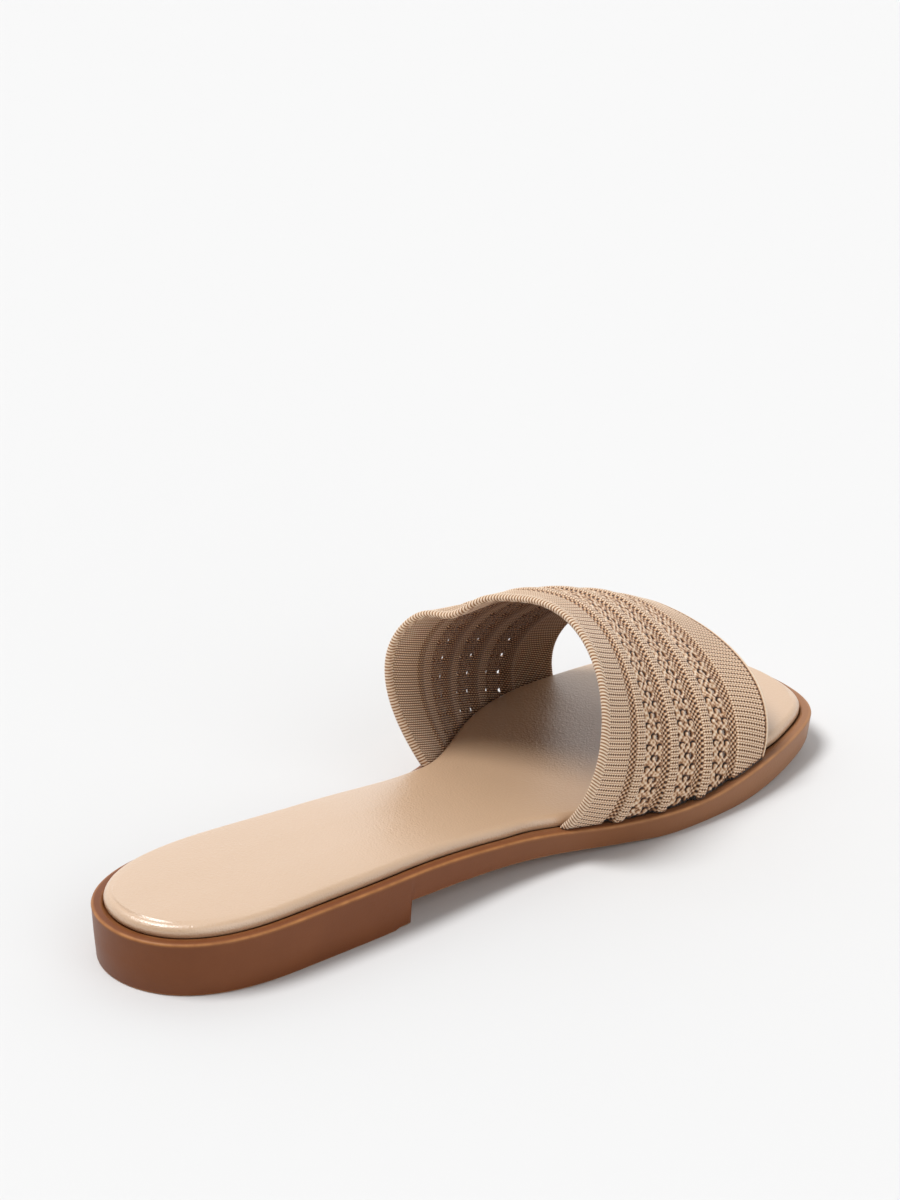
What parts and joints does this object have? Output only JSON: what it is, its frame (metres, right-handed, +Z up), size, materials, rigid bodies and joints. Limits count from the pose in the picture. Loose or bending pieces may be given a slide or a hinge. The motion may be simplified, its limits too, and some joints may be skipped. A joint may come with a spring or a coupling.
{
  "type": "slide sandal",
  "caption": "Women's flat slide sandal for the right foot: moulded rubber sole with a low heel block, padded insole and a wide openwork knitted band over the instep.",
  "frame": {"origin": "on the floor, at the middle of the heel's tread", "axes": "+Y to the toe, +X to the outer (little toe) side, +Z up"},
  "size_m": [0.0928, 0.2564, 0.0748],
  "materials": {
    "sole_rubber": "satin moulded, brown",
    "insole_leatherette": "smooth fine grain, satin, beige",
    "band_knit": "matte ribbed and openwork knit, beige"
  },
  "bodies": {
    "root": {"outsole": "sole_rubber", "insole": "insole_leatherette", "upper_band": "band_knit"}
  },
  "joints": []
}
